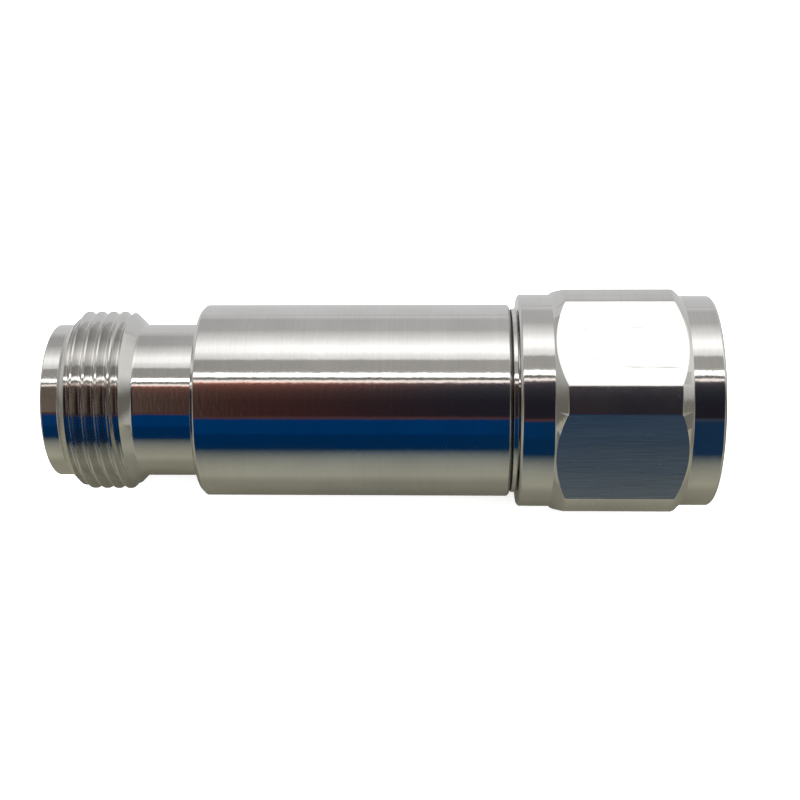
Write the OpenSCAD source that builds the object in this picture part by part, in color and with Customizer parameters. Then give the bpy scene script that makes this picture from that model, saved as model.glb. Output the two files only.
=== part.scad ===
// Fixed coaxial attenuator: threaded jack, plain round barrel, plug with a hexagonal coupling nut.
// Millimetres. The axis lies along X, jack at -X, plug at +X, one hexagon flat facing down.

/* [Barrel] */

// Outside diameter of the barrel
barrel_d = 17; // [16.6:0.1:20]
// Length of the barrel between its end faces
barrel_len = 27; // [24:0.1:40]
// Chamfer on the outer edge of the barrel towards the jack
barrel_chamfer = 0.34; // [0.1:0.02:0.4]
// Chamfer on its outer edge towards the plug
barrel_plug_chamfer = 0.18; // [0.1:0.02:0.4]

/* [Jack] */

// Outside diameter of the jack thread
thread_d = 15.875; // [15.8:0.005:15.9]
// Length over the full thread crests
thread_len = 4; // [3.6:0.1:6]
// Pitch of the thread, 24 turns to the inch
thread_pitch = 1.0583; // [1:0.0001:1.1]
// Diameter of the plain pilot in front of the thread
pilot_d = 13.5; // [12.6:0.1:14.2]
// Length of the pilot
pilot_len = 1.5; // [0.8:0.1:2]
// Diameter of the neck behind the thread
neck_d = 13.5; // [13.2:0.1:14.4]
// Length of the neck as far as the barrel
neck_len = 5.25; // [4.5:0.05:8]
// Bore that takes the ferrule of a mating plug
jack_bore_d = 8.12; // [8.06:0.01:8.2]
// Depth of that bore, down to the reference face
jack_bore_depth = 9.1; // [8.8:0.1:9.4]
// Depth of the tip of the socket contact behind the jack face
socket_tip_depth = 4.1; // [3.8:0.1:4.6]
// Bore of the socket contact
socket_bore_d = 1.7; // [1.66:0.01:1.8]
// Depth of that bore
socket_bore_depth = 5.4; // [4.8:0.1:6]
// Width of the four slots that make the socket springy
socket_slot_w = 0.25; // [0.2:0.01:0.4]
// Length of these slots
socket_slot_len = 4.4; // [3.5:0.1:5]
// Diameter of the jack spigot that screws into the barrel
jack_spigot_d = 12.5; // [11.5:0.1:12.8]

/* [Plug] */

// Width of the plug flange that shows between barrel and nut
flange_w = 0.6; // [0.4:0.01:0.8]
// How far the flange stays under the barrel surface
flange_step = 0.34; // [0.1:0.01:0.5]
// Width of the seam groove between barrel and flange
seam_w = 0.15; // [0.1:0.01:0.2]
// Depth of the seam groove
seam_depth = 0.5; // [0.3:0.05:0.7]
// Diameter of the journal on which the nut turns
journal_d = 13; // [12.6:0.1:13.2]
// Length of the journal, from the flange to the gasket seat
journal_len = 5.3; // [5.1:0.1:6.5]
// Outside diameter of the ferrule
ferrule_d = 8; // [7.95:0.01:8.04]
// Length of the ferrule in front of the gasket seat
ferrule_len = 10; // [9.6:0.1:10.2]
// How much thicker the ferrule is at its foot, under the gasket
ferrule_step = 0.2; // [0.18:0.01:0.3]
// Length of shell between the plug bead and the end of the outer contact
contact_web = 1; // [0.6:0.1:1.4]
// Diameter of the centre pin
pin_d = 1.65; // [1.6:0.01:1.68]
// Length of the thin part of the centre pin
pin_len = 5.1; // [4.6:0.1:5.6]
// How far the pin tip stays behind the ferrule tip
pin_recess = 0.2; // [0.1:0.1:0.8]
// Diameter of the plug spigot that screws into the barrel
plug_spigot_d = 14; // [13.6:0.1:14.4]
// Outside diameter of the gasket
gasket_d = 12.6; // [11:0.1:12.8]
// Thickness of the gasket
gasket_t = 1.3; // [1:0.1:1.6]

/* [Coupling nut] */

// Overall length of the nut
nut_len = 16.86; // [16.6:0.02:18]
// Width across the flats
nut_flats = 19.05; // [19:0.05:19.4]
// Diameter over the rounded corner lands
nut_corner_d = 20.75; // [20:0.05:21.6]
// Diameter of the rear collar
rear_collar_d = 18.76; // [18.4:0.02:18.94]
// Length of the rear collar
rear_collar_len = 2.83; // [2:0.01:4]
// Diameter of the front collar
front_collar_d = 18.5; // [18:0.02:18.8]
// Length of the front collar
front_collar_len = 2.7; // [2:0.1:4]
// Chamfer on both ends of the nut
nut_chamfer = 0.2; // [0.1:0.02:0.3]
// Thickness of the inner lip that the snap ring holds
lip_t = 2.3; // [2:0.1:2.6]
// Minor diameter of the inside thread
nut_thread_d = 14.9; // [14.8:0.02:15]
// Plain mouth in front of the inside thread
mouth_d = 16.2; // [16:0.05:16.4]
// Length of the plain mouth
mouth_len = 1.5; // [1.3:0.1:1.6]
// Room of the nut behind its place at rest
float_back = 0.08; // [0.06:0.01:0.15]
// Room of the nut in front of its place at rest
float_front = 0.3; // [0.2:0.05:0.6]
// Width of the snap ring
ring_w = 1; // [0.8:0.05:1.1]
// Radial thickness of the snap ring
ring_t = 1.1; // [1:0.05:1.15]
// How far the snap ring stands out of the journal into the nut
ring_rise = 0.7; // [0.6:0.05:0.8]
// Width of the relief groove behind the inside thread
relief_w = 1.2; // [1:0.1:1.6]

/* [Inner line] */

// Bore of the air line
line_d = 7; // [6.9:0.05:7.1]
// Diameter of the centre conductor
conductor_d = 3.04; // [3:0.02:3.1]
// Outside diameter of both support beads
bead_d = 8.2; // [8:0.05:8.4]
// Diameter of the conductor inside the beads
bead_journal_d = 2.48; // [2.4:0.02:2.6]
// Length of the support beads
bead_len = 3; // [2.6:0.1:3.2]
// Depth of the jack bead behind the jack face
jack_bead_depth = 11; // [10.6:0.1:11.2]
// Place of the plug bead in front of the flange
plug_bead_out = 2.1; // [1.8:0.1:2.2]
// Length of the spigots inside the barrel
spigot_len = 5; // [4.6:0.1:6]
// Bore of the barrel around the line sleeves
barrel_bore_d = 13; // [12.9:0.1:13.4]
// Diameter of the screwed stud behind each bead
stud_d = 1.2; // [1:0.1:1.4]
// Length of this stud
stud_len = 1.8; // [1.4:0.1:2]
// Length of the sockets that hold the resistor rods
tail_len = 4.5; // [4.3:0.1:5]
// Depth of a resistor rod in its socket
rod_grip = 2.2; // [1.8:0.1:2.2]
// Diameter of the resistor rods
rod_d = 2.2; // [2:0.1:2.3]
// Diameter of the shunt disc
disc_d = 11; // [10:0.1:11.6]
// Thickness of the shunt disc
disc_t = 0.64; // [0.5:0.02:1]
// Diameter of the junction that joins the rods to the disc
junction_d = 3.2; // [3:0.1:3.4]
// Length of the junction
junction_len = 5; // [4.4:0.1:6]

/* [Fits] */

// Radial room of parts that are screwed, soldered or pushed together
slip = 0.02; // [0.01:0.01:0.03]
// Radial room where the nut and its ring turn
running = 0.05; // [0.03:0.01:0.08]
// Small break on turned edges
edge = 0.12; // [0.05:0.01:0.15]
// Axial room behind the screwed plug spigot
thread_relief = 0.3; // [0.2:0.05:0.6]

/* [Hidden] */

$fn = 96;
barrel_r = barrel_d / 2;
thread_r = thread_d / 2;
pilot_r = pilot_d / 2;
neck_r = neck_d / 2;
jack_bore_r = jack_bore_d / 2;
jack_spigot_r = jack_spigot_d / 2;
plug_spigot_r = plug_spigot_d / 2;
barrel_bore_r = barrel_bore_d / 2;
flange_r = barrel_r - flange_step;
seam_r = flange_r - seam_depth;
journal_r = journal_d / 2;
ferrule_r = ferrule_d / 2;
line_r = line_d / 2;
conductor_r = conductor_d / 2;
bead_r = bead_d / 2;
bead_journal_r = bead_journal_d / 2;
rod_r = rod_d / 2;
junction_r = junction_d / 2;
mouth_r = mouth_d / 2;
nut_thread_r = nut_thread_d / 2;
corner_r = nut_corner_d / 2;
rear_collar_r = rear_collar_d / 2;
front_collar_r = front_collar_d / 2;

// The thread is cut as rings at its pitch: flanks at 60 degrees, flat crests of an eighth of the pitch
thread_rings = round(thread_len / thread_pitch);
thread_flank = 30;
thread_depth = 0.613 * thread_pitch;
thread_half = thread_pitch * 7 / 16;
thread_root_half = thread_half - thread_depth * tan(thread_flank);

// Places along the axis, counted from the jack face
thread_start = pilot_len + thread_r - pilot_r;
thread_end = thread_start + thread_len;
neck_start = thread_end + thread_r - neck_r;
barrel_start = neck_start + neck_len;
barrel_end = barrel_start + barrel_len;
flange_front = barrel_end + flange_w;
nut_start = flange_front + float_back;
nut_end = nut_start + nut_len;
seat = flange_front + journal_len;
ferrule_tip = seat + ferrule_len;
jack_spigot_end = barrel_start + spigot_len;
plug_spigot_end = barrel_end - spigot_len;
middle = (jack_spigot_end + plug_spigot_end) / 2;
jack_bead_end = jack_bead_depth + bead_len;
plug_bead_front = flange_front + plug_bead_out;
plug_bead_end = plug_bead_front - bead_len;

// The snap ring lies against the nut's lip and has the nut's whole float in its groove
ring_start = nut_start + lip_t;
ring_end = ring_start + ring_w;
groove_start = ring_start - float_back - slip;
groove_end = ring_end + float_front + slip;
ring_r = journal_r + ring_rise;
cavity_r = ring_r + running;
groove_r = journal_r - ring_t;
ring_gap = 2 * PI * ring_rise;

// The foot of the outer contact sits in the shell and carries the gasket
foot_r = ferrule_r + ferrule_step;
foot_start = plug_bead_front + contact_web;
foot_end = seat + gasket_t + edge;

// Nut cones are at 45 degrees on both sides of the hexagon
rear_cone = nut_start + rear_collar_len;
land_start = rear_cone + corner_r - rear_collar_r;
front_cone_end = nut_end - front_collar_len;
land_end = front_cone_end - corner_r + front_collar_r;
mouth_start = nut_end - mouth_len;
relief_start = seat + gasket_t - edge;
relief_end = relief_start + relief_w;
relief_r = mouth_r - edge / 2;

// The whole part is centred on the origin
shift = -nut_end / 2;

// A turned solid from a profile of [radius, place along the axis]
module turned(profile) {
    translate([shift, 0, 0])
        rotate([0, 90, 0])
            rotate_extrude()
                polygon(profile);
}

// Straight slots across a round end, as many as given, from one place along the axis to another
module slots(count, width, reach, from, to) {
    for (i = [0:count - 1])
        translate([shift + from, 0, 0])
            rotate([i * 360 / count, 0, 0])
                translate([0, 0, -width / 2])
                    cube([to - from, reach, width]);
}

module barrel() {
    color([0.72, 0.72, 0.71])
        turned([
            [jack_spigot_r + slip, barrel_start],
            [barrel_r - barrel_chamfer, barrel_start],
            [barrel_r, barrel_start + barrel_chamfer],
            [barrel_r, barrel_end - barrel_plug_chamfer],
            [barrel_r - barrel_plug_chamfer, barrel_end],
            [plug_spigot_r + slip, barrel_end],
            [plug_spigot_r + slip, plug_spigot_end - thread_relief],
            [barrel_bore_r, plug_spigot_end - thread_relief],
            [barrel_bore_r, jack_spigot_end],
            [jack_spigot_r + slip, jack_spigot_end]
        ]);
}

// One ring of the jack thread, as the groove that is cut away between two crests
module thread_groove(place) {
    half = thread_half + edge * tan(thread_flank);
    turned([
        [thread_r + edge, place - half],
        [thread_r - thread_depth, place - thread_root_half],
        [thread_r - thread_depth, place + thread_root_half],
        [thread_r + edge, place + half]
    ]);
}

module jack_shell() {
    first_groove = (thread_start + thread_end - (thread_rings - 1) * thread_pitch) / 2;
    color([0.74, 0.74, 0.73])
        difference() {
            turned([
                [jack_bore_r + 2 * edge, 0],
                [pilot_r - edge, 0],
                [pilot_r, edge],
                [pilot_r, pilot_len],
                [thread_r, thread_start],
                [thread_r, thread_end],
                [neck_r, neck_start],
                [neck_r, barrel_start],
                [jack_spigot_r, barrel_start],
                [jack_spigot_r, jack_spigot_end],
                [bead_r, jack_spigot_end],
                [bead_r, jack_bead_depth],
                [line_r, jack_bead_depth],
                [line_r, jack_bore_depth],
                [jack_bore_r, jack_bore_depth],
                [jack_bore_r, 2 * edge]
            ]);
            for (i = [0:thread_rings - 1])
                thread_groove(first_groove + i * thread_pitch);
        }
}

// A support bead, with a shallow groove round each face
module bead(from) {
    groove_in = bead_journal_r + (bead_r - bead_journal_r) * 0.3;
    groove_out = bead_journal_r + (bead_r - bead_journal_r) * 0.65;
    groove_depth = bead_len * 0.12;
    turned([
        [bead_journal_r + slip, from],
        [groove_in, from],
        [groove_in, from + groove_depth],
        [groove_out, from + groove_depth],
        [groove_out, from],
        [bead_r - slip, from],
        [bead_r - slip, from + bead_len],
        [groove_out, from + bead_len],
        [groove_out, from + bead_len - groove_depth],
        [groove_in, from + bead_len - groove_depth],
        [groove_in, from + bead_len],
        [bead_journal_r + slip, from + bead_len]
    ]);
}

module jack_bead() {
    color([0.95, 0.95, 0.93])
        bead(jack_bead_depth);
}

module plug_bead() {
    color([0.95, 0.95, 0.93])
        bead(plug_bead_end);
}

module jack_contact() {
    color([0.86, 0.68, 0.28])
        difference() {
            turned([
                [0, socket_tip_depth + socket_bore_depth],
                [socket_bore_d / 2, socket_tip_depth + socket_bore_depth],
                [socket_bore_d / 2, socket_tip_depth + edge],
                [socket_bore_d / 2 + edge, socket_tip_depth],
                [conductor_r - 2 * edge, socket_tip_depth],
                [conductor_r, socket_tip_depth + 3 * edge],
                [conductor_r, jack_bead_depth],
                [bead_journal_r, jack_bead_depth],
                [bead_journal_r, jack_bead_end],
                [stud_d / 2, jack_bead_end],
                [stud_d / 2, jack_bead_end + stud_len],
                [0, jack_bead_end + stud_len]
            ]);
            slots(4, socket_slot_w, conductor_r + 1, socket_tip_depth - 1, socket_tip_depth + socket_slot_len);
        }
}

module plug_pin() {
    shoulder = ferrule_tip - pin_recess - pin_len;
    tip = ferrule_tip - pin_recess;
    color([0.86, 0.68, 0.28])
        turned([
            [0, plug_bead_end - stud_len],
            [stud_d / 2, plug_bead_end - stud_len],
            [stud_d / 2, plug_bead_end],
            [bead_journal_r, plug_bead_end],
            [bead_journal_r, plug_bead_front],
            [conductor_r, plug_bead_front],
            [conductor_r, shoulder - edge],
            [conductor_r - edge, shoulder],
            [pin_d / 2, shoulder],
            [pin_d / 2, tip - pin_d * 0.6],
            [pin_d * 0.2, tip],
            [0, tip]
        ]);
}

// A screwed-on socket that clamps a bead and grips the end of a resistor rod; way is 1 or -1 along the axis
module rod_socket(from, way) {
    mouth = from + way * tail_len;
    bottom = mouth - way * rod_grip;
    difference() {
        turned([
            [stud_d / 2 + slip, from],
            [conductor_r, from],
            [conductor_r, mouth - way * edge],
            [conductor_r - edge, mouth],
            [rod_r + slip, mouth],
            [rod_r + slip, bottom],
            [stud_d / 2 + slip, bottom]
        ]);
        slots(2, socket_slot_w, conductor_r + 1, min(bottom, mouth + way), max(bottom, mouth + way));
    }
}

module jack_rod_socket() {
    color([0.84, 0.66, 0.3])
        rod_socket(jack_bead_end, 1);
}

module plug_rod_socket() {
    color([0.84, 0.66, 0.3])
        rod_socket(plug_bead_end, -1);
}

// A film resistor on a ceramic rod
module rod(from, to) {
    turned([
        [0, from],
        [rod_r - edge, from],
        [rod_r, from + edge],
        [rod_r, to - edge],
        [rod_r - edge, to],
        [0, to]
    ]);
}

module jack_rod() {
    color([0.25, 0.32, 0.3])
        rod(jack_bead_end + tail_len - rod_grip, middle - disc_t / 2);
}

module plug_rod() {
    color([0.25, 0.32, 0.3])
        rod(middle + disc_t / 2, plug_bead_end - tail_len + rod_grip);
}

// The junction takes a rod in each end, and its flange lies against the shunt disc
module junction() {
    flange = junction_r + 0.5;
    start = middle - junction_len / 2;
    end = middle + junction_len / 2;
    color([0.86, 0.68, 0.28])
        difference() {
            turned([
                [0, start],
                [junction_r, start],
                [junction_r, middle - disc_t],
                [flange, middle - disc_t],
                [flange, middle - disc_t / 2],
                [junction_r, middle - disc_t / 2],
                [junction_r, end],
                [0, end]
            ]);
            turned([[0, start - 1], [rod_r + slip, start - 1], [rod_r + slip, middle - disc_t / 2], [0, middle - disc_t / 2]]);
            turned([[0, middle + disc_t / 2], [rod_r + slip, middle + disc_t / 2], [rod_r + slip, end + 1], [0, end + 1]]);
        }
}

module shunt_disc() {
    color([0.3, 0.36, 0.34])
        turned([
            [junction_r + slip, middle - disc_t / 2],
            [disc_d / 2 - slip, middle - disc_t / 2],
            [disc_d / 2 - slip, middle + disc_t / 2],
            [junction_r + slip, middle + disc_t / 2]
        ]);
}

// The jack sleeve holds the disc in a recess, the plug sleeve closes it
module jack_line_sleeve() {
    color([0.8, 0.64, 0.34])
        turned([
            [line_r, jack_bead_end],
            [bead_r - slip, jack_bead_end],
            [bead_r - slip, jack_spigot_end],
            [barrel_bore_r - slip, jack_spigot_end],
            [barrel_bore_r - slip, middle + disc_t / 2],
            [disc_d / 2, middle + disc_t / 2],
            [disc_d / 2, middle - disc_t / 2],
            [line_r, middle - disc_t / 2]
        ]);
}

module plug_line_sleeve() {
    color([0.8, 0.64, 0.34])
        turned([
            [line_r, middle + disc_t / 2],
            [barrel_bore_r - slip, middle + disc_t / 2],
            [barrel_bore_r - slip, plug_spigot_end],
            [bead_r - slip, plug_spigot_end],
            [bead_r - slip, plug_bead_end],
            [line_r, plug_bead_end]
        ]);
}

module plug_shell() {
    color([0.73, 0.73, 0.72])
        turned([
            [bead_r, plug_spigot_end],
            [plug_spigot_r, plug_spigot_end],
            [plug_spigot_r, barrel_end],
            [seam_r, barrel_end],
            [seam_r, barrel_end + seam_w],
            [flange_r - edge / 2, barrel_end + seam_w],
            [flange_r, barrel_end + seam_w + edge / 2],
            [flange_r, flange_front - edge / 2],
            [flange_r - edge / 2, flange_front],
            [journal_r, flange_front],
            [journal_r, groove_start],
            [groove_r, groove_start],
            [groove_r, groove_end],
            [journal_r, groove_end],
            [journal_r, seat - edge],
            [journal_r - edge, seat],
            [foot_r + slip, seat],
            [foot_r + slip, foot_start],
            [line_r, foot_start],
            [line_r, plug_bead_front],
            [bead_r, plug_bead_front]
        ]);
}

module plug_outer_contact() {
    color([0.78, 0.76, 0.7])
        turned([
            [line_r, foot_start],
            [foot_r - edge, foot_start],
            [foot_r, foot_start + edge],
            [foot_r, foot_end],
            [ferrule_r, foot_end],
            [ferrule_r, ferrule_tip - 3 * edge],
            [ferrule_r - edge, ferrule_tip],
            [line_r + edge, ferrule_tip],
            [line_r, ferrule_tip - edge]
        ]);
}

module plug_gasket() {
    color([0.62, 0.2, 0.12])
        turned([
            [foot_r + slip, seat],
            [gasket_d / 2, seat],
            [gasket_d / 2, seat + gasket_t - edge],
            [gasket_d / 2 - edge, seat + gasket_t],
            [foot_r + slip, seat + gasket_t]
        ]);
}

module coupling_nut() {
    color([0.74, 0.74, 0.73])
        intersection() {
            turned([
                [journal_r + running, nut_start],
                [rear_collar_r - nut_chamfer, nut_start],
                [rear_collar_r, nut_start + nut_chamfer],
                [rear_collar_r, rear_cone],
                [corner_r, land_start],
                [corner_r, land_end],
                [front_collar_r, front_cone_end],
                [front_collar_r, nut_end - nut_chamfer],
                [front_collar_r - nut_chamfer, nut_end],
                [mouth_r + edge, nut_end],
                [mouth_r, nut_end - edge],
                [mouth_r, mouth_start],
                [nut_thread_r, mouth_start - mouth_r + nut_thread_r],
                [nut_thread_r, relief_end],
                [relief_r, relief_end],
                [relief_r, relief_start],
                [cavity_r, relief_start],
                [cavity_r, ring_start],
                [journal_r + running, ring_start]
            ]);
            translate([shift + nut_start - 1, 0, 0])
                rotate([0, 90, 0])
                    rotate([0, 0, 30])
                        cylinder(d = nut_flats / cos(30), h = nut_len + 2, $fn = 6);
        }
}

module nut_snap_ring() {
    color([0.7, 0.55, 0.3])
        difference() {
            turned([
                [ring_r - ring_t, ring_start],
                [ring_r, ring_start],
                [ring_r, ring_end],
                [ring_r - ring_t, ring_end]
            ]);
            translate([shift + ring_start - 1, -ring_gap / 2, 0])
                cube([ring_w + 2, ring_gap, ring_r + 1]);
        }
}

barrel();
jack_shell();
jack_bead();
jack_contact();
jack_rod_socket();
jack_rod();
junction();
shunt_disc();
plug_rod();
plug_rod_socket();
plug_pin();
plug_bead();
jack_line_sleeve();
plug_line_sleeve();
plug_shell();
plug_outer_contact();
plug_gasket();
coupling_nut();
nut_snap_ring();
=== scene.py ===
import math

import bmesh
import bpy
from mathutils import Matrix, Vector


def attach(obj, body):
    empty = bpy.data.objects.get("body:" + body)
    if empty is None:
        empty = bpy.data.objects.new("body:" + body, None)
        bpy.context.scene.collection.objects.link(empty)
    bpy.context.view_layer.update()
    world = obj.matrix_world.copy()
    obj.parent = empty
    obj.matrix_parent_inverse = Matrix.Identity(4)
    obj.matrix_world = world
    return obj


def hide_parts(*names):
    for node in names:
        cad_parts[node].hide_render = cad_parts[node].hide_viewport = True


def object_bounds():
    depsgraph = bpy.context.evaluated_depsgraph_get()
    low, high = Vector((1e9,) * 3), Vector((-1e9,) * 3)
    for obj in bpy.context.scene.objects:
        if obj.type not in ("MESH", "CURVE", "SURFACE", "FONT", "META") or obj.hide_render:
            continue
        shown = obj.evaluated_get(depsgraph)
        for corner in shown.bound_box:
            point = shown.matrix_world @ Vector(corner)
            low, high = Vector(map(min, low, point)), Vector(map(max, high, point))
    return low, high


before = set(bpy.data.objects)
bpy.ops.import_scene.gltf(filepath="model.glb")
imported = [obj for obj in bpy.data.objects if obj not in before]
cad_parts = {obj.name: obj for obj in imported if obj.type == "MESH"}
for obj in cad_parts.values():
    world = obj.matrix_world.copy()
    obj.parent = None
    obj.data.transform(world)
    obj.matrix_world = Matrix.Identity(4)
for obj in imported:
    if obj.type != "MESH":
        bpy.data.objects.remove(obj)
cad_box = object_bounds()

MM = 0.001
TURN = 2 * math.pi

# Sizes in millimetres, the same as in the part's source
barrel_r = 8.5
barrel_len = 27.0
barrel_chamfer = 0.34
barrel_plug_chamfer = 0.18
thread_r = 7.9375
thread_len = 4.0
pilot_r = 6.75
pilot_len = 1.5
neck_r = 6.75
neck_len = 5.25
jack_bore_r = 4.06
jack_bore_depth = 9.1
socket_tip = 4.1
socket_bore_r = 0.85
socket_bore_depth = 5.4
socket_slot_w = 0.25
socket_slot_len = 4.4
jack_spigot_r = 6.25
flange_w = 0.6
flange_r = 8.16
seam_w = 0.15
seam_r = 7.66
journal_r = 6.5
journal_len = 5.3
ferrule_r = 4.0
ferrule_len = 10.0
foot_r = 4.2
contact_web = 1.0
pin_r = 0.825
pin_len = 5.1
pin_recess = 0.2
plug_spigot_r = 7.0
gasket_r = 6.3
gasket_t = 1.3
nut_len = 16.86
flat_r = 9.525
corner_r = 10.375
rear_collar_r = 9.38
rear_collar_len = 2.83
front_collar_r = 9.25
front_collar_len = 2.7
nut_chamfer = 0.2
lip_t = 2.3
nut_thread_r = 7.45
mouth_r = 8.1
mouth_len = 1.5
float_back = 0.08
float_front = 0.3
ring_w = 1.0
ring_t = 1.1
ring_rise = 0.7
relief_w = 1.2
line_r = 3.5
conductor_r = 1.52
bead_r = 4.1
bead_journal_r = 1.24
bead_len = 3.0
jack_bead_start = 11.0
plug_bead_out = 2.1
spigot_len = 5.0
barrel_bore_r = 6.5
stud_r = 0.6
stud_len = 1.8
slip = 0.02
running = 0.05
edge = 0.12
thread_relief = 0.3
pitch = 25.4 / 24

# Sizes that only the finer pieces have; the last two are how far a cutter reaches past a surface
crest = 0.14
root_half = 0.09
root_round = 0.03
jack_groove_at = 1.305
jack_groove_turns = 7
nut_groove_half = 0.455
nut_root_half = 0.085
nut_root_r = 7.97
nut_groove_turns = 9
flat_break = 0.018
flat_frame = 0.06
over = 0.1
saw_over = 1.0

# Places along the axis, counted from the jack face
thread_start = pilot_len + thread_r - pilot_r
thread_end = thread_start + thread_len
neck_start = thread_end + thread_r - neck_r
barrel_start = neck_start + neck_len
barrel_end = barrel_start + barrel_len
flange_front = barrel_end + flange_w
nut_start = flange_front + float_back
nut_end = nut_start + nut_len
seat = flange_front + journal_len
ferrule_tip = seat + ferrule_len
jack_spigot_end = barrel_start + spigot_len
plug_spigot_end = barrel_end - spigot_len
jack_bead_end = jack_bead_start + bead_len
plug_bead_front = flange_front + plug_bead_out
plug_bead_end = plug_bead_front - bead_len
ring_start = nut_start + lip_t
groove_start = ring_start - float_back - slip
groove_end = ring_start + ring_w + float_front + slip
cavity_r = journal_r + ring_rise + running
groove_r = journal_r - ring_t
foot_start = plug_bead_front + contact_web
foot_end = seat + gasket_t + edge
rear_cone = nut_start + rear_collar_len
land_start = rear_cone + corner_r - rear_collar_r
front_cone_end = nut_end - front_collar_len
land_end = front_cone_end - corner_r + front_collar_r
mouth_start = nut_end - mouth_len
relief_start = seat + gasket_t - edge
relief_end = relief_start + relief_w
relief_r = mouth_r - edge / 2

# Steps round the axis of every turned piece, the angle from which an edge stays sharp,
# and the distance in metres under which two points are one
STEPS = 192
SHARP = math.radians(30)
SAME = 1e-7


def spot(place, radius):
    """A point above the axis, from a place along it and a radius in millimetres."""
    return Vector((cad_box[0].x + place * MM, 0, radius * MM))


# Modelling

def put_down():
    """Back to object mode with nothing selected."""
    if bpy.context.object and bpy.context.object.mode != "OBJECT":
        bpy.ops.object.mode_set(mode="OBJECT")
    bpy.ops.object.select_all(action="DESELECT")


def take_up(piece):
    """Only this piece selected, in object mode."""
    put_down()
    piece.select_set(True)
    bpy.context.view_layer.objects.active = piece


def pick(piece, kind, wanted):
    """In edit mode, select only the vertices or faces that are wanted."""
    bpy.ops.mesh.select_all(action="DESELECT")
    bpy.ops.mesh.select_mode(type={"verts": "VERT", "faces": "FACE"}[kind])
    mesh = bmesh.from_edit_mesh(piece.data)
    for item in getattr(mesh, kind):
        item.select_set(wanted(item))
    mesh.select_flush_mode()
    bmesh.update_edit_mesh(piece.data)


def draw_profile(name, points, closed):
    """A chain of edges through points: place, radius and the size of the break at a broken corner."""
    put_down()
    bpy.ops.mesh.primitive_plane_add(size=MM)
    piece = bpy.context.object
    piece.name = name
    piece.data.name = name
    bpy.ops.object.mode_set(mode="EDIT")
    bpy.ops.mesh.select_mode(type="VERT")
    bpy.ops.mesh.select_all(action="SELECT")
    bpy.ops.mesh.merge(type="CENTER")
    here = spot(*points[0][:2])
    bpy.ops.transform.translate(value=here)
    for point in points[1:]:
        there = spot(*point[:2])
        bpy.ops.mesh.extrude_region_move(TRANSFORM_OT_translate={"value": there - here})
        here = there
    if closed:
        ends = (spot(*points[0][:2]), spot(*points[-1][:2]))
        pick(piece, "verts", lambda v: min((v.co - end).length for end in ends) < SAME)
        bpy.ops.mesh.edge_face_add()
    for size in sorted({point[2] for point in points if len(point) > 2}):
        corners = [spot(*point[:2]) for point in points if point[2:] == (size,)]
        pick(piece, "verts", lambda v: min((v.co - corner).length for corner in corners) < SAME)
        bpy.ops.mesh.bevel(offset=size * MM, segments=3, affect="VERTICES")
    return piece


def turn_piece(name, points, closed=True):
    """A turned piece: its profile spun once round the axis, and its seam and poles merged.

    It stays in edit mode.
    """
    piece = draw_profile(name, points, closed)
    bpy.ops.mesh.select_all(action="SELECT")
    bpy.ops.mesh.spin(steps=STEPS, angle=TURN, center=(0, 0, 0), axis=(1, 0, 0), use_auto_merge=True)
    bpy.ops.mesh.select_all(action="SELECT")
    bpy.ops.mesh.remove_doubles(threshold=SAME)
    bpy.ops.mesh.normals_make_consistent(inside=False)
    return piece


def cut_with(piece, cutter):
    """Take the cutter's shape out of the piece."""
    take_up(piece)
    bpy.ops.object.modifier_add(type="BOOLEAN")
    cut = piece.modifiers[-1]
    cut.operation = "DIFFERENCE"
    cut.solver = "EXACT"
    cut.object = cutter
    bpy.ops.object.modifier_apply(modifier=cut.name)
    take_up(cutter)
    bpy.ops.object.delete()


def thread_tool(start, turns, profile):
    """A helical cutter: a groove's section about its middle, carried round the axis by the pitch."""
    section = [(start + offset, radius) for offset, radius in profile]
    tool = draw_profile("thread_tool", section, True)
    bpy.ops.object.mode_set(mode="OBJECT")
    bpy.ops.object.modifier_add(type="SCREW")
    sweep = tool.modifiers[-1]
    sweep.axis = "X"
    sweep.angle = TURN
    sweep.screw_offset = pitch * MM
    sweep.iterations = turns
    sweep.steps = STEPS
    sweep.render_steps = STEPS
    bpy.ops.object.modifier_apply(modifier=sweep.name)
    bpy.ops.object.mode_set(mode="EDIT")
    bpy.ops.mesh.select_mode(type="EDGE")
    bpy.ops.mesh.select_all(action="DESELECT")
    bpy.ops.mesh.select_non_manifold()
    bpy.ops.mesh.fill_holes(sides=0)
    bpy.ops.mesh.select_all(action="SELECT")
    bpy.ops.mesh.normals_make_consistent(inside=False)
    bpy.ops.object.mode_set(mode="OBJECT")
    return tool


def polish(piece):
    """Smooth shading across small angles, with the large faces keeping their own direction."""
    take_up(piece)
    bpy.ops.object.shade_smooth_by_angle(angle=SHARP)
    bpy.ops.object.modifier_add(type="WEIGHTED_NORMAL")
    even = piece.modifiers[-1]
    even.keep_sharp = True
    even.weight = 100
    bpy.ops.object.modifier_apply(modifier=even.name)


def fit(piece, node, body, slot, *finishes):
    """Give the piece its finish and let it stand for its CAD node."""
    for index, finish in enumerate(finishes):
        if index < len(piece.data.materials):
            piece.data.materials[index] = finish
        else:
            piece.data.materials.append(finish)
    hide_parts(node)
    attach(piece, body)


def give_finish(piece, index, wanted):
    """Give the faces that are wanted another of the piece's finishes."""
    take_up(piece)
    bpy.ops.object.mode_set(mode="EDIT")
    pick(piece, "faces", wanted)
    piece.active_material_index = index
    bpy.ops.object.material_slot_assign()
    put_down()


# Finishes

def lay(tree, kind, sockets, **settings):
    """Add a node, set or link its sockets, and hand back its first output."""
    made = tree.nodes.new(kind)
    for name, value in settings.items():
        setattr(made, name, value)
    for name, value in sockets.items():
        if isinstance(value, bpy.types.NodeSocket):
            tree.links.new(value, made.inputs[name])
        else:
            made.inputs[name].default_value = value
    return made.outputs[0]


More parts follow.
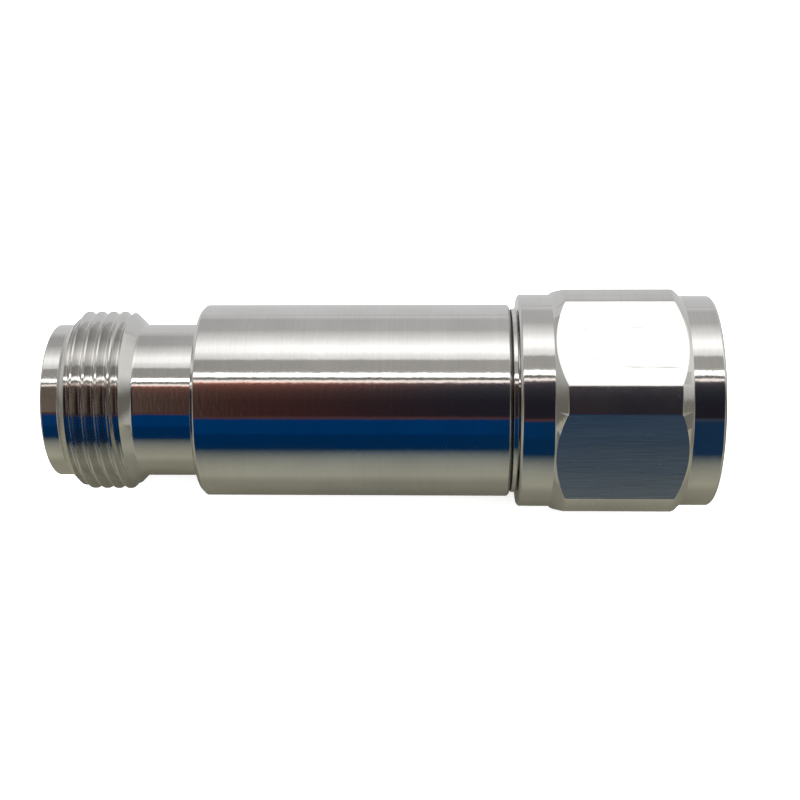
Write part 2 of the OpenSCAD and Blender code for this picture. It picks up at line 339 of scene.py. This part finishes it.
def outlets(tree, kind, sockets):
    """Add a node and hand back all its outputs."""
    lay(tree, kind, sockets)
    return tree.nodes[-1].outputs


def calc(tree, operation, first, second):
    """Work out one value from two."""
    return lay(tree, "ShaderNodeMath", {0: first, 1: second}, operation=operation)


def between(tree, value, low, high):
    """Spread a noise value from its usual span to low and high."""
    span = {"Value": value, "From Min": 0.3, "From Max": 0.7, "To Min": low, "To Max": high}
    return lay(tree, "ShaderNodeMapRange", span)


def ease(tree, value, start, end):
    """Zero up to start, one from end on, and a soft rise between."""
    span = {"Value": value, "From Min": start, "From Max": end, "To Min": 0.0, "To Max": 1.0}
    return lay(tree, "ShaderNodeMapRange", span, interpolation_type="SMOOTHSTEP")


def tint(tree, share, first, second, how="MIX"):
    """One colour going over into another."""
    made = tree.nodes.new("ShaderNodeMix")
    made.data_type = "RGBA"
    made.blend_type = how
    for socket, value in ((made.inputs[0], share), (made.inputs[6], first), (made.inputs[7], second)):
        if isinstance(value, bpy.types.NodeSocket):
            tree.links.new(value, socket)
        elif isinstance(value, (int, float)):
            socket.default_value = value
        else:
            socket.default_value = (*value, 1)
    return made.outputs[2]


def grain(tree, scale, detail):
    """Noise in the piece's own coordinates, with a scale along each axis, per metre."""
    place = outlets(tree, "ShaderNodeTexCoord", {})["Object"]
    stretched = lay(tree, "ShaderNodeMapping", {"Vector": place, "Scale": scale})
    return lay(tree, "ShaderNodeTexNoise", {"Vector": stretched, "Scale": 1.0, "Detail": detail})


def bump(tree, strength, distance, height, under=None):
    """A relief, laid over another one where there is one."""
    sockets = {"Strength": strength, "Distance": distance, "Height": height}
    if under is not None:
        sockets["Normal"] = under
    return lay(tree, "ShaderNodeBump", sockets)


def new_finish(name, **sockets):
    """A material with its shader's fixed values set on the sockets."""
    finish = bpy.data.materials.new(name)
    finish.use_nodes = True
    shader = finish.node_tree.nodes["Principled BSDF"]
    for socket, value in sockets.items():
        shader.inputs[socket.replace("_", " ")].default_value = value
    return finish, finish.node_tree, shader


def pits(tree, scale, size, share):
    """Small scattered spots: 1 inside a spot, 0 elsewhere."""
    place = outlets(tree, "ShaderNodeTexCoord", {})["Object"]
    cells = outlets(tree, "ShaderNodeTexVoronoi", {"Vector": place, "Scale": scale})
    inside = calc(tree, "LESS_THAN", cells["Distance"], size)
    lot = lay(tree, "ShaderNodeSeparateColor", {"Color": cells["Color"]})
    chosen = calc(tree, "LESS_THAN", lot, share)
    return calc(tree, "MULTIPLY", inside, chosen)


def hairlines(tree):
    """Scattered fine scratches, slanting round the axis: 1 on a scratch, 0 elsewhere."""
    place = outlets(tree, "ShaderNodeTexCoord", {})["Object"]
    along, across, up = outlets(tree, "ShaderNodeSeparateXYZ", {"Vector": place})
    girth = calc(tree, "MULTIPLY", calc(tree, "ARCTAN2", across, up), barrel_r * MM)
    unrolled = lay(tree, "ShaderNodeCombineXYZ", {"X": along, "Y": girth})
    drawn = {"Vector": unrolled, "Rotation": (0, 0, 0.8), "Scale": (0.00006, 0.0018, 1)}
    slanted = lay(tree, "ShaderNodeMapping", drawn, vector_type="TEXTURE")
    lines = lay(tree, "ShaderNodeTexNoise", {"Vector": slanted, "Scale": 1.0, "Detail": 1.0})
    patches = grain(tree, (180, 180, 180), 2)
    return calc(tree, "MULTIPLY", ease(tree, lines, 0.66, 0.74), ease(tree, patches, 0.52, 0.62))


def turned_metal(name, tone, shade, smooth, rough):
    """Bright turned metal: fine wavering rings left by the tool, faint clouds, pits and scratches."""
    finish, tree, shader = new_finish(name, Metallic=1.0, Anisotropic=0.6, Anisotropic_Rotation=0.25)
    cloud = grain(tree, (260, 260, 260), 4)
    rings = grain(tree, (9000, 60, 60), 3)
    waver = grain(tree, (3200, 1100, 1100), 4)
    scuffs = hairlines(tree)
    spots = pits(tree, 700, 0.045, 0.14)
    colour = tint(tree, between(tree, cloud, 0, 1), tone, shade)
    colour = tint(tree, between(tree, rings, 0, 0.2), colour, [value * 0.8 for value in shade])
    colour = tint(tree, spots, colour, [value * 0.5 for value in shade])
    tree.links.new(colour, shader.inputs["Base Color"])
    dull = calc(tree, "ADD", between(tree, cloud, smooth, rough), calc(tree, "MULTIPLY", rings, 0.03))
    dull = calc(tree, "ADD", dull, calc(tree, "MULTIPLY", spots, 0.2))
    dull = calc(tree, "ADD", dull, calc(tree, "MULTIPLY", scuffs, 0.11))
    tree.links.new(dull, shader.inputs["Roughness"])
    around = lay(tree, "ShaderNodeTangent", {}, direction_type="RADIAL", axis="X")
    tree.links.new(around, shader.inputs["Tangent"])
    relief = bump(tree, 0.05, 0.01 * MM, rings)
    relief = bump(tree, 0.6, 0.01 * MM, waver, relief)
    tree.links.new(relief, shader.inputs["Normal"])
    return finish


def milled_metal(name, tone, shade):
    """Milled flats: fine broken lines along the axis, and a few coarser marks among them."""
    finish, tree, shader = new_finish(name, Metallic=1.0, Anisotropic=0.6)
    lines = grain(tree, (380, 7000, 7000), 3)
    broad = grain(tree, (60, 1200, 1200), 2)
    marks = ease(tree, grain(tree, (220, 5200, 5200), 2), 0.66, 0.74)
    colour = tint(tree, between(tree, lines, 0, 1), tone, shade)
    colour = tint(tree, marks, colour, [value * 0.8 for value in shade])
    tree.links.new(colour, shader.inputs["Base Color"])
    dull = calc(tree, "ADD", between(tree, broad, 0.09, 0.13), calc(tree, "MULTIPLY", lines, 0.04))
    dull = calc(tree, "ADD", dull, calc(tree, "MULTIPLY", marks, 0.12))
    tree.links.new(dull, shader.inputs["Roughness"])
    around = lay(tree, "ShaderNodeTangent", {}, direction_type="RADIAL", axis="X")
    tree.links.new(around, shader.inputs["Tangent"])
    relief = bump(tree, 0.24, 0.01 * MM, lines)
    tree.links.new(relief, shader.inputs["Normal"])
    return finish


def plated_metal(name, tone, shade, rough):
    """Plated contact metal with a slight grain."""
    finish, tree, shader = new_finish(name, Metallic=1.0)
    cloud = grain(tree, (700, 700, 700), 4)
    rings = grain(tree, (9000, 200, 200), 2)
    tree.links.new(tint(tree, between(tree, cloud, 0, 1), tone, shade), shader.inputs["Base Color"])
    dull = between(tree, cloud, rough - 0.04, rough + 0.04)
    dull = calc(tree, "ADD", dull, calc(tree, "MULTIPLY", rings, 0.04))
    tree.links.new(dull, shader.inputs["Roughness"])
    relief = bump(tree, 0.08, 0.01 * MM, rings)
    tree.links.new(relief, shader.inputs["Normal"])
    return finish


def plain_solid(name, tone, shade, rough, scale, relief_strength):
    """Plastic, rubber or ceramic: mottled colour, uneven gloss and a fine relief."""
    finish, tree, shader = new_finish(name)
    cloud = grain(tree, (scale, scale, scale), 5)
    fine = grain(tree, (scale * 9, scale * 9, scale * 9), 2)
    tree.links.new(tint(tree, between(tree, cloud, 0, 1), tone, shade), shader.inputs["Base Color"])
    tree.links.new(between(tree, cloud, rough - 0.06, rough + 0.06), shader.inputs["Roughness"])
    relief = bump(tree, relief_strength, 0.02 * MM, fine)
    tree.links.new(relief, shader.inputs["Normal"])
    return finish


steel_tone = (0.66, 0.65, 0.635)
steel_shade = (0.6, 0.59, 0.57)
steel = turned_metal("turned_steel", steel_tone, steel_shade, 0.06, 0.09)
nut_steel = turned_metal("turned_nut_steel", steel_tone, steel_shade, 0.06, 0.09)
flat_steel = milled_metal("milled_nut_steel", (0.74, 0.735, 0.72), (0.62, 0.615, 0.6))
land_steel = turned_metal("land_steel", steel_tone, steel_shade, 0.17, 0.21)
thread_steel = turned_metal("thread_steel", steel_tone, (0.56, 0.55, 0.53), 0.08, 0.12)
# A near-black, dull steel for the seam's faces: painted shade in the narrow seam
seam_shade_steel = turned_metal("seam_shade_steel", (0.16, 0.155, 0.15), (0.1, 0.1, 0.095), 0.4, 0.5)
gold = plated_metal("gold_plate", (0.86, 0.6, 0.24), (0.8, 0.54, 0.19), 0.2)
white_plate = plated_metal("white_plate", (0.74, 0.71, 0.65), (0.68, 0.65, 0.58), 0.22)
bronze = plated_metal("spring_bronze", (0.55, 0.36, 0.18), (0.46, 0.29, 0.14), 0.3)
brass = plated_metal("sleeve_brass", (0.7, 0.52, 0.24), (0.62, 0.45, 0.2), 0.28)
insulator = plain_solid("white_insulator", (0.84, 0.83, 0.79), (0.78, 0.77, 0.72), 0.42, 900, 0.1)
ceramic = plain_solid("film_ceramic", (0.09, 0.13, 0.12), (0.06, 0.09, 0.085), 0.4, 1200, 0.15)
rubber = plain_solid("gasket_rubber", (0.4, 0.085, 0.045), (0.34, 0.065, 0.035), 0.55, 800, 0.2)


# Turned pieces

barrel = turn_piece("turned_barrel", [
    (barrel_start, jack_spigot_r + slip),
    (barrel_start, barrel_r - barrel_chamfer, 0.05),
    (barrel_start + barrel_chamfer, barrel_r, 0.05),
    (barrel_end - barrel_plug_chamfer, barrel_r, 0.04),
    (barrel_end, barrel_r - barrel_plug_chamfer, 0.04),
    (barrel_end, plug_spigot_r + slip),
    (plug_spigot_end - thread_relief, plug_spigot_r + slip),
    (plug_spigot_end - thread_relief, barrel_bore_r),
    (jack_spigot_end, barrel_bore_r),
    (jack_spigot_end, jack_spigot_r + slip),
])
polish(barrel)
fit(barrel, "barrel", "housing", "stainless_turned", steel)

# The jack thread is a V groove of sixty degrees, cut from the plain pilot into the rear cone
flank = math.tan(math.radians(30))
groove_half = (pitch - crest) / 2
groove_depth = (groove_half - root_half) / flank
root_r = thread_r - groove_depth
jack = turn_piece("threaded_jack", [
    (0, jack_bore_r + 2 * edge, 0.04),
    (0, pilot_r - edge, 0.04),
    (edge, pilot_r, 0.04),
    (pilot_len, pilot_r, 0.05),
    (thread_start, thread_r),
    (thread_end, thread_r),
    (neck_start, neck_r, 0.12),
    (barrel_start, neck_r),
    (barrel_start, jack_spigot_r),
    (jack_spigot_end, jack_spigot_r),
    (jack_spigot_end, bead_r),
    (jack_bead_start, bead_r),
    (jack_bead_start, line_r),
    (jack_bore_depth, line_r, 0.04),
    (jack_bore_depth, jack_bore_r),
    (2 * edge, jack_bore_r, 0.04),
])
jack_groove = thread_tool(jack_groove_at, jack_groove_turns, [
    (-groove_half - over * flank, thread_r + over),
    (-root_half, root_r),
    (-root_half / 2, root_r - root_round),
    (root_half / 2, root_r - root_round),
    (root_half, root_r),
    (groove_half + over * flank, thread_r + over),
])
cut_with(jack, jack_groove)
polish(jack)
fit(jack, "jack_shell", "housing", "stainless_turned", steel, thread_steel)


def in_thread(face):
    """Whether a face is a flank or the root of the jack thread."""
    middle = face.calc_center_median()
    inside = spot(pilot_len, 0).x < middle.x < spot(neck_start, 0).x
    radius = middle.yz.length
    tilt = abs(face.normal.x)
    root = tilt < 0.5 and radius < (root_r + 0.02) * MM
    return inside and radius > neck_r * MM and (tilt > 0.8 or root)


give_finish(jack, 1, in_thread)

plug = turn_piece("plug_shell_turned", [
    (plug_spigot_end, bead_r),
    (plug_spigot_end, plug_spigot_r),
    (barrel_end, plug_spigot_r),
    (barrel_end, seam_r),
    (barrel_end + seam_w, seam_r),
    (barrel_end + seam_w, flange_r - edge / 2, 0.02),
    (barrel_end + seam_w + edge / 2, flange_r, 0.02),
    (flange_front - edge / 2, flange_r, 0.02),
    (flange_front, flange_r - edge / 2, 0.02),
    (flange_front, journal_r),
    (groove_start, journal_r, 0.03),
    (groove_start, groove_r),
    (groove_end, groove_r),
    (groove_end, journal_r, 0.03),
    (seat - edge, journal_r, 0.03),
    (seat, journal_r - edge, 0.03),
    (seat, foot_r + slip),
    (foot_start, foot_r + slip),
    (foot_start, line_r),
    (plug_bead_front, line_r),
    (plug_bead_front, bead_r),
])
polish(plug)
fit(plug, "plug_shell", "housing", "stainless_turned", steel, seam_shade_steel)


def in_seam(face):
    """Whether a face lies in the seam between the barrel and the flange."""
    middle = face.calc_center_median()
    inside = spot(barrel_end, 0).x - 1e-6 < middle.x < spot(barrel_end + seam_w, 0).x + 1e-6
    return inside and plug_spigot_r * MM < middle.yz.length < (flange_r - edge / 2) * MM


# The seam's faces take the near-black steel: painted shade in the seam
give_finish(plug, 1, in_seam)

ferrule = turn_piece("plug_ferrule", [
    (foot_start, line_r),
    (foot_start, foot_r - edge),
    (foot_start + edge, foot_r),
    (foot_end, foot_r, 0.04),
    (foot_end, ferrule_r, 0.04),
    (ferrule_tip - 3 * edge, ferrule_r, 0.06),
    (ferrule_tip, ferrule_r - edge, 0.05),
    (ferrule_tip, line_r + edge, 0.05),
    (ferrule_tip - edge, line_r, 0.05),
])
polish(ferrule)
fit(ferrule, "plug_outer_contact", "housing", "white_plate", white_plate)

gasket = turn_piece("gasket_ring", [
    (seat, foot_r + slip),
    (seat, gasket_r, 0.1),
    (seat + gasket_t - edge, gasket_r, 0.06),
    (seat + gasket_t, gasket_r - edge, 0.06),
    (seat + gasket_t, foot_r + slip, 0.1),
])
polish(gasket)
fit(gasket, "plug_gasket", "housing", "gasket_rubber", rubber)


def turn_bead(name, start):
    """A support bead with a shallow groove round each face."""
    inner = bead_journal_r + (bead_r - bead_journal_r) * 0.3
    outer = bead_journal_r + (bead_r - bead_journal_r) * 0.65
    depth = bead_len * 0.12
    end = start + bead_len
    bead = turn_piece(name, [
        (start, bead_journal_r + slip),
        (start, inner, 0.05),
        (start + depth, inner, 0.08),
        (start + depth, outer, 0.08),
        (start, outer, 0.05),
        (start, bead_r - slip, 0.05),
        (end, bead_r - slip, 0.05),
        (end, outer, 0.05),
        (end - depth, outer, 0.08),
        (end - depth, inner, 0.08),
        (end, inner, 0.05),
        (end, bead_journal_r + slip),
    ])
    polish(bead)
    return bead


for name, node, start in (
    ("jack_support_bead", "jack_bead", jack_bead_start),
    ("plug_support_bead", "plug_bead", plug_bead_end),
):
    fit(turn_bead(name, start), node, "housing", "white_insulator", insulator)

socket = turn_piece("slotted_socket", [
    (socket_tip + socket_bore_depth, 0),
    (socket_tip + socket_bore_depth, socket_bore_r),
    (socket_tip + edge, socket_bore_r, 0.04),
    (socket_tip, socket_bore_r + edge, 0.04),
    (socket_tip, conductor_r - 2 * edge, 0.05),
    (socket_tip + 3 * edge, conductor_r, 0.08),
    (jack_bead_start, conductor_r),
    (jack_bead_start, bead_journal_r),
    (jack_bead_end, bead_journal_r),
    (jack_bead_end, stud_r),
    (jack_bead_end + stud_len, stud_r),
    (jack_bead_end + stud_len, 0),
], closed=False)
saw_len = socket_slot_len + saw_over
saw_at = spot(socket_tip - saw_over + saw_len / 2, 0)
for turned in (0, TURN / 4):
    put_down()
    bpy.ops.mesh.primitive_cube_add(size=1, location=saw_at, rotation=(turned, 0, 0))
    saw = bpy.context.object
    saw.scale = (saw_len * MM, 4 * conductor_r * MM, socket_slot_w * MM)
    bpy.ops.object.transform_apply(location=True, rotation=True, scale=True)
    cut_with(socket, saw)
polish(socket)
fit(socket, "jack_contact", "housing", "gold_plate", gold)

pin_tip = ferrule_tip - pin_recess
pin_shoulder = pin_tip - pin_len
pin = turn_piece("centre_pin", [
    (plug_bead_end - stud_len, 0),
    (plug_bead_end - stud_len, stud_r),
    (plug_bead_end, stud_r),
    (plug_bead_end, bead_journal_r),
    (plug_bead_front, bead_journal_r),
    (plug_bead_front, conductor_r),
    (pin_shoulder - edge, conductor_r, 0.05),
    (pin_shoulder, conductor_r - edge, 0.05),
    (pin_shoulder, pin_r, 0.06),
    (pin_tip - pin_r * 1.2, pin_r, 0.3),
    (pin_tip, pin_r * 0.4, 0.12),
    (pin_tip, 0),
], closed=False)
polish(pin)
fit(pin, "plug_pin", "housing", "gold_plate", gold)

# The coupling nut is turned, gets its six flats, and is threaded inside
nut = turn_piece("hexagon_nut", [
    (nut_start, journal_r + running, 0.06),
    (nut_start, rear_collar_r - nut_chamfer, 0.07),
    (nut_start + nut_chamfer, rear_collar_r, 0.07),
    (rear_cone, rear_collar_r, 0.04),
    (land_start, corner_r, 0.06),
    (land_end, corner_r, 0.06),
    (front_cone_end, front_collar_r, 0.04),
    (nut_end - nut_chamfer, front_collar_r, 0.07),
    (nut_end, front_collar_r - nut_chamfer, 0.07),
    (nut_end, mouth_r + edge, 0.04),
    (nut_end - edge, mouth_r, 0.04),
    (mouth_start, mouth_r, 0.04),
    (mouth_start - mouth_r + nut_thread_r, nut_thread_r),
    (relief_end, nut_thread_r),
    (relief_end, relief_r),
    (relief_start, relief_r),
    (relief_start, cavity_r),
    (ring_start, cavity_r),
    (ring_start, journal_r + running, 0.06),
])
flat_angles = [TURN * (number + 0.5) / 6 for number in range(6)]
flat_normals = [Vector((0, math.cos(angle), math.sin(angle))) for angle in flat_angles]
for normal in flat_normals:
    middle = normal * (flat_r - flat_break) * MM
    bpy.ops.mesh.select_all(action="SELECT")
    bpy.ops.mesh.bisect(
        plane_co=middle, plane_no=normal, use_fill=True, clear_outer=True, threshold=SAME
    )


def on_flat(face, depth=0.0):
    """Whether a face lies on one of the six flats, at a depth under it."""
    middle = face.calc_center_median()
    level = (flat_r - depth) * MM
    facing = [normal for normal in flat_normals if face.normal.dot(normal) > 0.9999]
    return any(abs(middle.dot(normal) - level) < 2e-6 for normal in facing)


pick(nut, "faces", lambda face: on_flat(face, flat_break))
bpy.ops.mesh.inset(thickness=flat_frame * MM, depth=flat_break * MM, use_individual=True)
nut_groove = thread_tool(relief_start + relief_w / 2, nut_groove_turns, [
    (-nut_groove_half, nut_thread_r - over),
    (-nut_root_half, nut_root_r),
    (nut_root_half, nut_root_r),
    (nut_groove_half, nut_thread_r - over),
])
cut_with(nut, nut_groove)
polish(nut)
fit(nut, "coupling_nut", "nut", "stainless_nut", nut_steel, flat_steel, land_steel)


def on_land(face):
    """Whether a face lies on one of the round corner lands."""
    radius = face.calc_center_median().yz.length
    return radius > (corner_r - 0.02) * MM and abs(face.normal.x) < 0.1


give_finish(nut, 1, on_flat)
give_finish(nut, 2, on_land)

# Inner pieces that keep their CAD shape
for finish, names in (
    (gold, ("junction", "jack_rod_socket", "plug_rod_socket")),
    (brass, ("jack_line_sleeve", "plug_line_sleeve")),
    (ceramic, ("jack_rod", "plug_rod", "shunt_disc")),
    (bronze, ("nut_snap_ring",)),
):
    for name in names:
        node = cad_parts[name]
        node.data.materials.clear()
        node.data.materials.append(finish)


# Floor, surroundings, light and camera

# The floor is white. The metal mirrors it darker: warm near the part and fading out to the front,
# with painted shade under the part, dimmer towards its ends, and dimmest far out to the sides
floor_size = 6
fade_per_metre = 18.0
fade_power = -1.3
warm_floor = (0.295, 0.286, 0.22)
far_floor = (0.005, 0.024, 0.05)
back_floor = (0.32, 0.322, 0.327)
black = (0.0, 0.0, 0.0)
put_down()
bpy.ops.mesh.primitive_plane_add(size=floor_size, location=(0, 0, cad_box[0].z))
floor = bpy.context.object
floor.name = "pale_floor"
floor_finish, tree, shader = new_finish("pale_floor", Roughness=0.9, Specular_IOR_Level=0.0)
place = outlets(tree, "ShaderNodeTexCoord", {})["Object"]
across, depth, _ = outlets(tree, "ShaderNodeSeparateXYZ", {"Vector": place})
outward = calc(tree, "ABSOLUTE", across, 0.0)
forward = calc(tree, "MULTIPLY", depth, -1.0)
away = calc(tree, "SUBTRACT", forward, calc(tree, "MULTIPLY", outward, 0.5))
away = calc(tree, "MULTIPLY", calc(tree, "MAXIMUM", away, 0.0), fade_per_metre)
near = calc(tree, "POWER", calc(tree, "ADD", away, 1.0), fade_power)
front = tint(tree, near, far_floor, warm_floor)
# Painted shade: the floor that the metal mirrors is made darker just under the part
under = calc(tree, "MULTIPLY", ease(tree, depth, -0.022, -0.0145), 0.3)
front = tint(tree, under, front, black)
ends = calc(tree, "MULTIPLY", ease(tree, outward, 0.005, 0.03), 0.22)
front = tint(tree, ends, front, black)
mirrored = tint(tree, ease(tree, depth, -0.004, 0.012), front, back_floor)
beyond = calc(tree, "MULTIPLY", ease(tree, outward, 0.045, 0.08), ease(tree, depth, -0.05, -0.02))
dim = tint(tree, ease(tree, depth, -0.012, 0.05), (0.095, 0.092, 0.082), (0.33, 0.33, 0.325))
mirrored = tint(tree, beyond, mirrored, dim)
in_metal = outlets(tree, "ShaderNodeLightPath", {})["Is Glossy Ray"]
mottle = grain(tree, (40, 40, 40), 3)
white = tint(tree, between(tree, mottle, 0, 1), (0.86, 0.86, 0.86), (0.88, 0.88, 0.875))
tree.links.new(tint(tree, in_metal, white, mirrored), shader.inputs["Base Color"])
shader.inputs["Emission Color"].default_value = (1, 1, 1, 1)
glow = calc(tree, "MULTIPLY", calc(tree, "SUBTRACT", 1.0, in_metal), 0.4)
tree.links.new(glow, shader.inputs["Emission Strength"])
floor.data.materials.append(floor_finish)

# The room that the bright metal shows, as bands round the axis
world = bpy.data.worlds.new("studio")
bpy.context.scene.world = world
world.use_nodes = True
tree = world.node_tree
ray = outlets(tree, "ShaderNodeTexCoord", {})["Generated"]
ray_x, ray_y, ray_z = outlets(tree, "ShaderNodeSeparateXYZ", {"Vector": ray})
upward = calc(tree, "MAXIMUM", ray_z, 0.0)
height = calc(tree, "ARCTAN2", upward, calc(tree, "MULTIPLY", ray_y, -1.0))
share = calc(tree, "DIVIDE", height, math.pi)

# Each band: degrees up from the front horizon, and its light
bands = [
    # a blue cloth in front, with a fold in it and a reddish hem
    (0, (0.0, 0.028, 0.1)),
    (17.4, (0.0, 0.03, 0.113)),
    (18, (0.0, 0.016, 0.07)),
    (18.8, (0.0, 0.042, 0.16)),
    (37, (0.0, 0.042, 0.168)),
    (37.8, (0.1, 0.045, 0.045)),
    (39.6, (0.09, 0.042, 0.042)),
    # the dark room round the camera
    (41, (0.018, 0.016, 0.023)),
    (58, (0.018, 0.018, 0.026)),
    (69, (0.03, 0.032, 0.042)),
    (76.5, (0.06, 0.055, 0.065)),
    (80, (0.115, 0.1, 0.115)),
    # a thin lamp and a bright tube, with a dark gap between them
    (80.8, (1.6, 1.45, 1.38)),
    (82.8, (1.6, 1.45, 1.38)),
    (83.5, (0.14, 0.14, 0.125)),
    (86.8, (0.14, 0.14, 0.125)),
    (87.6, (4.2, 4.2, 4.15)),
    (90.9, (4.2, 4.2, 4.15)),
    # the ceiling, a wide soft lamp in it, and the wall behind
    (92, (0.6, 0.59, 0.57)),
    (93.5, (0.5, 0.49, 0.47)),
    (108, (0.5, 0.49, 0.47)),
    (109, (1.1, 1.1, 1.09)),
    (115.5, (1.4, 1.4, 1.39)),
    (118.5, (1.7, 1.7, 1.7)),
    (125.5, (1.75, 1.75, 1.75)),
    (132, (1.4, 1.4, 1.4)),
    (137, (1.12, 1.12, 1.11)),
    (151.5, (0.62, 0.62, 0.62)),
    (171, (0.61, 0.61, 0.615)),
    (174, (0.68, 0.68, 0.69)),
    (177, (0.78, 0.78, 0.79)),
    (180, (0.8, 0.8, 0.81)),
]
strength = 4.2


def shown(colour):
    """A light as the background holds it, before its strength."""
    return [value / strength for value in colour]


around = lay(tree, "ShaderNodeValToRGB", {"Fac": share})
stops = tree.nodes[-1].color_ramp.elements
while len(stops) < len(bands):
    stops.new(1.0)
for stop, (degrees, colour) in zip(stops, bands):
    stop.position = degrees / 180
    stop.color = (*shown(colour), 1)

# The dark part is warm, and then lighter, towards the jack side
blue_top = math.radians(37.4)
hem_top = math.radians(40.5)
lamp_foot = math.radians(80.5)
ceiling_edge = math.radians(93)
over_hem = calc(tree, "GREATER_THAN", height, hem_top)
under_lamp = calc(tree, "LESS_THAN", height, lamp_foot)
dark = calc(tree, "MULTIPLY", over_hem, under_lamp)
jackward = calc(tree, "MULTIPLY", ray_x, -1.0)
warm = calc(tree, "MULTIPLY", dark, ease(tree, jackward, -0.03, 0.16))
around = tint(tree, warm, around, tint(tree, 1.0, around, (3.1, 1.25, 0.8), "MULTIPLY"))
brown = calc(tree, "MULTIPLY", dark, ease(tree, jackward, 0.15, 0.33))
around = tint(tree, brown, around, shown((0.175, 0.136, 0.108)))

# Overhead it dims towards the jack, and the cloth is duller towards the plug
overhead = calc(tree, "GREATER_THAN", height, ceiling_edge)
dimmed = calc(tree, "MULTIPLY", overhead, ease(tree, jackward, 0.08, 0.28))
around = tint(tree, dimmed, around, tint(tree, 1.0, around, (0.83, 0.83, 0.82), "MULTIPLY"))
cloth = calc(tree, "LESS_THAN", height, hem_top)
greyed = calc(tree, "MULTIPLY", cloth, ease(tree, ray_x, 0.1, 0.16))
around = tint(tree, greyed, around, shown((0.04, 0.058, 0.092)))
blue = calc(tree, "LESS_THAN", height, blue_top)
dulled = calc(tree, "MULTIPLY", blue, ease(tree, ray_x, 0.035, 0.07))
around = tint(tree, calc(tree, "MULTIPLY", dulled, 0.8), around, shown((0.004, 0.034, 0.094)))

# Both sides have a dim strip, and are lighter in front of it and behind it
jack_wall = shown((0.62, 0.62, 0.6))
plug_wall = shown((1.0, 1.0, 0.97))
strip = shown((0.19, 0.178, 0.155))
behind = tint(tree, ease(tree, ray_x, -0.2, 0.2), jack_wall, plug_wall)
before = tint(tree, ease(tree, ray_y, -0.45, -0.28), shown((0.55, 0.54, 0.52)), strip)
side = tint(tree, ease(tree, ray_y, -0.15, 0.25), before, behind)
around = tint(tree, ease(tree, calc(tree, "ABSOLUTE", ray_x, 0.0), 0.45, 0.8), around, side)

# Whatever isn't a mirror image has plain white daylight
in_metal = outlets(tree, "ShaderNodeLightPath", {})["Is Glossy Ray"]
seen = tint(tree, in_metal, shown((2.0, 2.0, 2.0)), around)
tree.links.new(seen, tree.nodes["Background"].inputs["Color"])
tree.nodes["Background"].inputs["Strength"].default_value = strength
world.cycles.sampling_method = "NONE"

# One soft lamp, high up behind the jack
put_down()
aim = (math.radians(-17), math.radians(-14), 0)
bpy.ops.object.light_add(type="AREA", location=(-0.1, 0.12, 0.4), rotation=aim)
key = bpy.context.object
key.name = "softbox"
key.data.shape = "DISK"
key.data.size = 0.3
key.data.energy = 0.8
key.visible_glossy = False

# The camera stands sixty degrees above the horizon and a little towards the plug.
# It looks slightly back to the jack
camera_x = 6.1665
camera_distance = 119.53
toward = Vector((0, -0.5, math.sqrt(0.75)))
above = Vector((0, math.sqrt(0.75), 0.5))
yaw = math.radians(-2.157)
roll = math.radians(0.075)
look = Vector((math.sin(yaw), 0, 0)) - toward * math.cos(yaw)
level = Vector((math.cos(yaw), 0, 0)) + toward * math.sin(yaw)
right = level * math.cos(roll) + above * math.sin(roll)
above = above * math.cos(roll) - level * math.sin(roll)
stand = Vector((camera_x * MM, 0, 0)) + toward * camera_distance * MM
turn = Matrix((right, above, -look)).transposed()
put_down()
bpy.ops.object.camera_add(location=stand, rotation=turn.to_euler())
camera = bpy.context.object
camera.data.lens = 60.27
camera.data.sensor_width = 36
camera.data.clip_start = 0.005
camera.data.clip_end = 20
bpy.context.scene.camera = camera
bpy.context.scene.view_settings.view_transform = "Standard"
